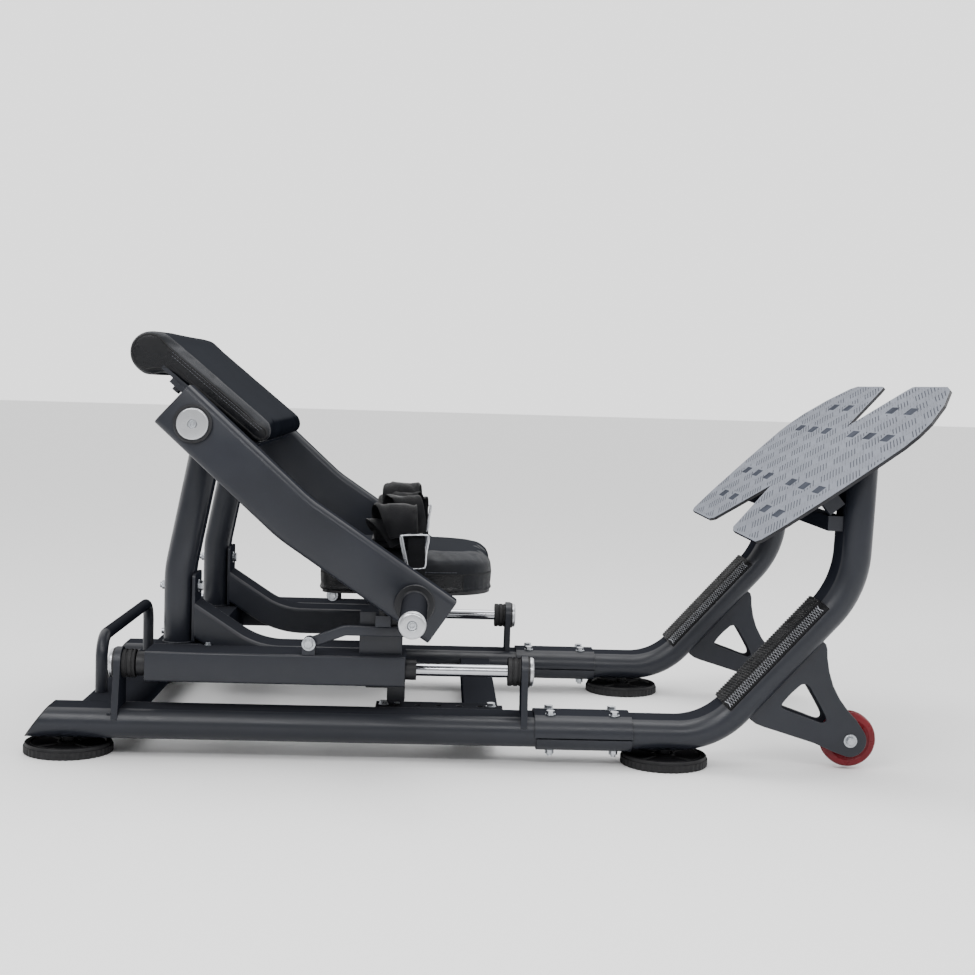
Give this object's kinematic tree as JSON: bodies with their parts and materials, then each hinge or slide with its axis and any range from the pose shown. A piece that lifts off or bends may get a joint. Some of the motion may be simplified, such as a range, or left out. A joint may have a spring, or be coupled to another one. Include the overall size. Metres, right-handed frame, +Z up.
{
  "type": "hip thrust machine",
  "caption": "Plate-loaded hip thrust machine with a flat-oval tube base, sliding seat carriage, swinging weight arms, back pad and a wide sloping foot plate.",
  "frame": {"origin": "on the floor under the centre of the machine's bounding box", "axes": "+X from the grab handle to the foot plate, +Y across the machine, +Z up"},
  "size_m": [1.8463, 1.514, 0.8484],
  "materials": {
    "frame_paint": "satin",
    "cap_plastic": "matte",
    "chrome_rod": "polished",
    "alloy_cap": "satin",
    "rubber": "matte",
    "dark_steel": "semi-gloss",
    "zinc": "zinc plated",
    "grip_weave": "woven texture",
    "tread_plate": "textured silver-grey",
    "red_tyre": "smooth polyurethane",
    "black_leather": "satin grain",
    "belt_webbing": "woven, slightly shiny"
  },
  "bodies": {
    "base": {"rail_near": "frame_paint", "rail_far": "frame_paint", "rail_end_caps": "cap_plastic", "front_cross_tube": "frame_paint", "rear_cross_member": "frame_paint", "grab_handle": "frame_paint", "rod_brackets": "frame_paint", "guide_rods": "chrome_rod", "rod_end_caps": "alloy_cap", "bumpers": "rubber", "index_plate": "dark_steel", "base_bolts": "zinc", "foot_pads": "rubber", "foot_stems": "dark_steel", "clamp_upper_shells": "frame_paint", "clamp_lower_shells": "frame_paint", "rear_tube_near": "frame_paint", "rear_tube_far": "frame_paint", "grip_mat_near": "grip_weave", "grip_mat_far": "grip_weave", "wheel_bracket_near": "frame_paint", "wheel_bracket_far": "frame_paint", "wheel_axles": "zinc", "foot_plate": "tread_plate", "plate_cross_beam": "frame_paint", "plate_flanges": "frame_paint"},
    "carriage": {"side_tube_near": "frame_paint", "side_tube_far": "frame_paint", "front_beam": "frame_paint", "rear_beam": "frame_paint", "slide_bushings": "cap_plastic", "post_near": "frame_paint", "post_far": "frame_paint", "s_beam_near": "frame_paint", "s_beam_far": "frame_paint", "post_bolts": "zinc", "pillars": "frame_paint", "arm_stops": "rubber", "seat_beam": "frame_paint", "seat_pan": "cap_plastic", "seat_pad": "black_leather", "pivot_housings": "frame_paint", "pin_housing": "frame_paint", "lever_lugs": "frame_paint"},
    "arms": {"arm_near": "frame_paint", "arm_far": "frame_paint", "pivot_shaft": "chrome_rod", "pivot_caps": "alloy_cap", "weight_horn_near": "dark_steel", "weight_horn_far": "dark_steel", "horn_caps": "alloy_cap", "pad_frame": "frame_paint", "back_pad": "black_leather", "hip_belt": "belt_webbing"},
    "lever": {"release_lever": "frame_paint"},
    "pin": {"index_pin": "zinc"},
    "wheel_near": {"tyre_near": "red_tyre", "hub_near": "zinc"},
    "wheel_far": {"tyre_far": "red_tyre", "hub_far": "zinc"}
  },
  "joints": [
    {"name": "carriage_slide", "type": "slide", "parent": "base", "child": "carriage", "axis": [1, 0, 0], "range_m": [0, 0.172]},
    {"name": "arms_swing", "type": "hinge", "parent": "carriage", "child": "arms", "pos_m": [-0.583, 0, 0.664], "axis": [0, -1, 0], "range_deg": [0, 35]},
    {"name": "lever_pull", "type": "hinge", "parent": "carriage", "child": "lever", "pos_m": [-0.357, 0, 0.233], "axis": [0, -1, 0], "range_deg": [-7, 0]},
    {"name": "pin_drop", "type": "slide", "parent": "carriage", "child": "pin", "axis": [0, 0, 1], "range_m": [-0.0235, 0]},
    {"name": "wheel_near_spin", "type": "hinge", "parent": "base", "child": "wheel_near", "pos_m": [0.7325, -0.386, 0.0615], "axis": [0, 1, 0], "continuous": true},
    {"name": "wheel_far_spin", "type": "hinge", "parent": "base", "child": "wheel_far", "pos_m": [0.7325, 0.386, 0.0615], "axis": [0, 1, 0], "continuous": true}
  ],
  "couplings": [
    {"joint": "pin_drop", "follows": "lever_pull", "m_per_rad": 0.19}
  ]
}
